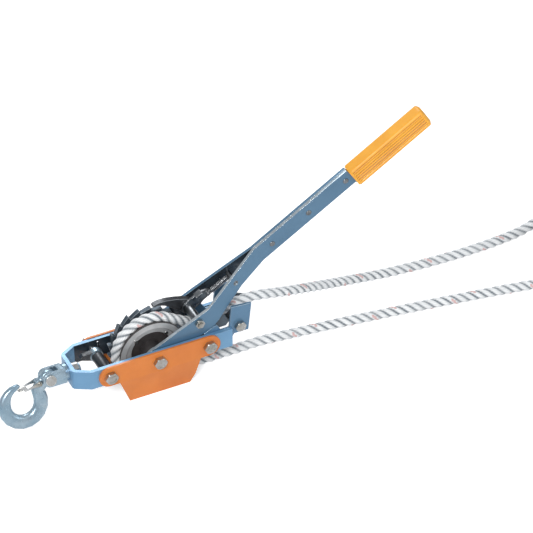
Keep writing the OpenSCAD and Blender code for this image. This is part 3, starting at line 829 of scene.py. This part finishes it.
def grip_shape():
    """A moulded sleeve with ribs along each side, a small step at the mouth and a rounded end."""
    rings = []
    s0, s1 = 300.0, 408.0
    steps, count = 46, 176
    for i in range(steps + 1):
        s = s0 + (s1 - s0) * i / steps
        near0, near1 = s - s0, s1 - s
        grow = 0.0
        if near1 < 3.2:
            grow = -3.0 * (1 - near1 / 3.2) ** 2
        if near0 < 1.6:
            grow = -0.8 * (1 - near0 / 1.6) ** 2
        ribbed = near0 > 1.8 and near1 > 2.8
        half_y, half_t, corner = 9.0 + grow, 13.5 + grow, 4.2
        ring = []
        for k in range(count):
            u = 4 * k / count
            side, w = int(u), u % 1 * 2 - 1
            if side == 0:
                y, t = half_y, w * half_t
            elif side == 1:
                y, t = -w * half_y, half_t
            elif side == 2:
                y, t = -half_y, -w * half_t
            else:
                y, t = w * half_y, -half_t
            ey, et = max(0, abs(y) - (half_y - corner)), max(0, abs(t) - (half_t - corner))
            d = math.hypot(ey, et)
            if d > corner and ey > 0 and et > 0:
                y = math.copysign(half_y - corner + ey * corner / d, y)
                t = math.copysign(half_t - corner + et * corner / d, t)
            if ribbed and side in (0, 2) and abs(t) < RIB_HALF:
                dip = 1.15 * (1 - min(1, abs(rib_wave(t)) * 1.5)) + 0.12
                edge = min(1, (near0 - 1.8) / 1.5, (near1 - 2.8) / 1.5)
                y -= math.copysign(dip * edge, y)
            ring.append(Vector((s, y, GRIP_MID + t)))
        rings.append(ring)
    return loft([r[::-1] for r in rings])


FROM_HAND = HAND.inverted()


def in_groove(c, n):
    spot = FROM_HAND @ c
    t = spot.z - GRIP_MID
    return abs(n.y) > 0.3 and abs(t) < 10.5 and 303 < spot.x < 404 and abs(rib_wave(t)) < 0.5


# The grooves between the grip's ribs take the darker amber as painted shade
repainted(shell("grip_moulded", *moved(grip_shape(), HAND), "handle", AMBER, "grip_amber", ["grip"], 48),
          AMBER_GROOVE_SHADE, in_groove)


# ---- Springs ----
def coil(a, b, radius, gauge, turns):
    """An extension spring from a to b, with a half loop at each end."""
    a, b = Vector(a), Vector(b)
    d = (b - a).normalized()
    side = Vector((0, 1, 0)).cross(d).normalized()
    lift = d.cross(side)
    lead = radius * 1.5
    body = (b - a).length - 2 * lead
    path = []
    for k in range(10):
        t = math.pi * 1.5 * (1 - k / 9)
        path.append(a + d * (radius * 0.75) + d * (radius * 0.7) * math.cos(t + math.pi)
                    + side * radius * 0.7 * math.sin(t))
    steps = int(turns * 16)
    for k in range(steps + 1):
        t = k / steps
        ang = TAU * turns * t
        path.append(a + d * (lead + body * t) + radius * (side * math.sin(ang) + lift * math.cos(ang)))
    for k in range(10):
        t = math.pi * 1.5 * k / 9
        path.append(b - d * (radius * 0.75) - d * (radius * 0.7) * math.cos(t + math.pi)
                    + side * radius * 0.7 * math.sin(t))
    return wire(even(path, 0.9), gauge)


pull = shell("pawl_spring_coil", *coil((76.6, 3.9, 47.6), (103.0, 3.9, 64.4), 3.0, 0.62, 13), None, SPRING,
             "zinc", ["drive_pawl_spring"], 60)
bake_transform(pull)


def torsion():
    """The stop pawl's spring: three coils round the front tube, and two straight legs."""
    path = [Vector((FRONT + 5.4, 19.7, 12.0)), Vector((FRONT + 5.4, 19.7, 6.0))]
    for k in range(0, 49):
        a = TAU * k / 16
        path.append(Vector((FRONT + 5.45 * math.cos(a), 19.7 - 2.5 * k / 48, 5.45 * math.sin(a))))
    path += [Vector((FRONT + 5.4, 17.2, -6.0)), Vector((FRONT + 8.0, 17.2, -13.0))]
    return wire(even(path, 1.0), 0.62)


shell("stop_spring_coil", *torsion(), "frame", SPRING, "zinc", ["stop_pawl_spring"], 60)


# ---- Floor ----
def floor():
    data = bpy.data.meshes.new("floor")
    data.from_pydata([(-9, -9, 0), (9, -9, 0), (9, 9, 0), (-9, 9, 0)], [], [(0, 1, 2, 3)])
    s = Shade("pale_floor", Roughness=0.8)
    s.colour(s.ramp(s.noise(3, 2), (0.3, 0.86), (0.7, 0.9)))
    # Seen straight on the floor glows, so it stays white under a gentle key light
    rays = s.tree.nodes.new("ShaderNodeLightPath")
    s.main.inputs["Emission Color"].default_value = (1, 1, 1, 1)
    s.link(s.math("MULTIPLY", rays.outputs["Is Camera Ray"], 0.55), s.main.inputs["Emission Strength"])
    data.materials.append(s.made)
    made = bpy.data.objects.new("floor", data)
    made.location.z = -0.0002
    bpy.context.scene.collection.objects.link(made)


floor()
